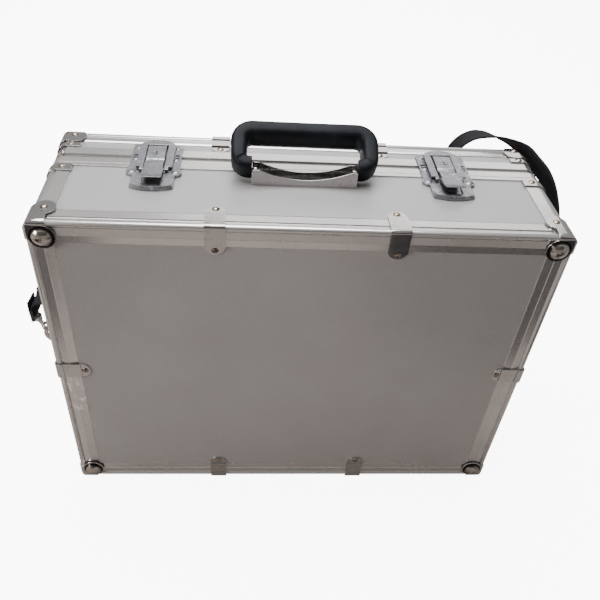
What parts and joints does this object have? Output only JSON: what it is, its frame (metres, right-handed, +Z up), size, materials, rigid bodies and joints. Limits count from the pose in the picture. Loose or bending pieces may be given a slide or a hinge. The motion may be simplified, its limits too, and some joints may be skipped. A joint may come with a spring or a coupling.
{
  "type": "aluminium-framed drone carrying case",
  "caption": "Aluminium-framed hard carrying case with fitted foam, lever latches with locks, hinged lid, folding handle and shoulder strap.",
  "frame": {"origin": "bottom centre of the case standing on its hinge side, measured without the strap's webbing and slider", "axes": "+X to the right seen from the front panel, +Y from the deep base shell towards the lid, +Z up towards the handle"},
  "size_m": [0.5128, 0.2374, 0.377],
  "materials": {
    "aluminium": "satin anodised profile, finely brushed",
    "laminate": "plywood with a silver-grey pebbled laminate",
    "steel": "bright nickel plate, fingermarked",
    "rivet": "dull brass-toned plate",
    "zinc": "pitted grey zinc casting",
    "grip": "black moulded plastic, satin",
    "webbing": "black woven webbing",
    "black_plastic": "black, slight sheen",
    "foam": "charcoal open-cell foam"
  },
  "bodies": {
    "base": {"base_front_panel": "laminate", "base_top_panel": "laminate", "base_bottom_panel": "laminate", "base_left_panel": "laminate", "base_right_panel": "laminate", "base_profile_top": "aluminium", "base_profile_bottom": "aluminium", "base_profile_left": "aluminium", "base_profile_right": "aluminium", "base_corner_posts": "aluminium", "base_mating_frame": "aluminium", "base_corner_caps": "steel", "base_mating_brackets": "steel", "base_edge_clamps": "steel", "base_rivets": "rivet", "base_floor_rivets": "rivet", "dome_feet": "steel", "handle_bracket": "steel", "handle_pins": "steel", "latch_left_plate": "zinc", "latch_right_plate": "zinc", "hinge_base_leaves": "steel", "hinge_pins": "steel", "stay_guides": "steel", "base_foam": "foam", "strap_anchors": "steel", "strap_webbing": "webbing", "strap_slider": "black_plastic"},
    "lid": {"hinge_lid_leaves": "steel", "lid_stays": "steel", "lid_foam": "foam", "lid_back_panel": "laminate", "lid_top_panel": "laminate", "lid_bottom_panel": "laminate", "lid_left_panel": "laminate", "lid_right_panel": "laminate", "lid_profile_top": "aluminium", "lid_profile_bottom": "aluminium", "lid_profile_left": "aluminium", "lid_profile_right": "aluminium", "lid_corner_posts": "aluminium", "lid_mating_frame": "aluminium", "lid_corner_caps": "steel", "lid_mating_brackets": "steel", "lid_edge_clamps": "steel", "lid_rivets": "rivet", "lid_floor_rivets": "rivet", "latch_left_catch": "zinc", "latch_right_catch": "zinc"},
    "grip": {"handle_grip": "grip"},
    "lever_left": {"latch_left_lever": "zinc"},
    "lever_right": {"latch_right_lever": "zinc"},
    "bail_left": {"latch_left_bail": "zinc"},
    "bail_right": {"latch_right_bail": "zinc"},
    "plug_left": {"lock_plug_left": "zinc"},
    "plug_right": {"lock_plug_right": "zinc"},
    "strap_ring_left": {"ring_left": "steel", "clip_left": "black_plastic"},
    "strap_ring_right": {"ring_right": "steel", "clip_right": "black_plastic"}
  },
  "joints": [
    {"name": "lid_hinge", "type": "hinge", "parent": "base", "child": "lid", "pos_m": [0, 0.03475, 0.0031], "axis": [-1, 0, 0], "range_deg": [0, 75], "deforming": ["strap_webbing", "strap_slider"]},
    {"name": "handle_pivot", "type": "hinge", "parent": "base", "child": "grip", "pos_m": [0, 0.00175, 0.3457], "axis": [1, 0, 0], "range_deg": [0, 124]},
    {"name": "left_lever_pivot", "type": "hinge", "parent": "base", "child": "lever_left", "pos_m": [-0.132, 0.01375, 0.3397], "axis": [-1, 0, 0], "range_deg": [0, 95]},
    {"name": "left_bail_pivot", "type": "hinge", "parent": "lever_left", "child": "bail_left", "pos_m": [-0.132, 0.00725, 0.3393], "axis": [1, 0, 0], "range_deg": [0, 110]},
    {"name": "left_key_turn", "type": "hinge", "parent": "base", "child": "plug_left", "pos_m": [-0.132, 0.03375, 0.3407], "axis": [0, 0, 1], "range_deg": [0, 90]},
    {"name": "right_lever_pivot", "type": "hinge", "parent": "base", "child": "lever_right", "pos_m": [0.132, 0.01375, 0.3397], "axis": [-1, 0, 0], "range_deg": [0, 95]},
    {"name": "right_bail_pivot", "type": "hinge", "parent": "lever_right", "child": "bail_right", "pos_m": [0.132, 0.00725, 0.3393], "axis": [1, 0, 0], "range_deg": [0, 110]},
    {"name": "right_key_turn", "type": "hinge", "parent": "base", "child": "plug_right", "pos_m": [0.132, 0.03375, 0.3407], "axis": [0, 0, 1], "range_deg": [0, 90]},
    {"name": "left_ring_swing", "type": "hinge", "parent": "base", "child": "strap_ring_left", "pos_m": [-0.228, -0.02, 0.1677], "axis": [0, 0, 1], "range_deg": [-60, 60]},
    {"name": "right_ring_swing", "type": "hinge", "parent": "base", "child": "strap_ring_right", "pos_m": [0.228, -0.02, 0.1677], "axis": [0, 0, 1], "range_deg": [-95, 25]}
  ],
  "couplings": [
    {"joint": "left_bail_pivot", "follows": "left_lever_pivot", "ratio": 1.15},
    {"joint": "right_bail_pivot", "follows": "right_lever_pivot", "ratio": 1.15}
  ]
}
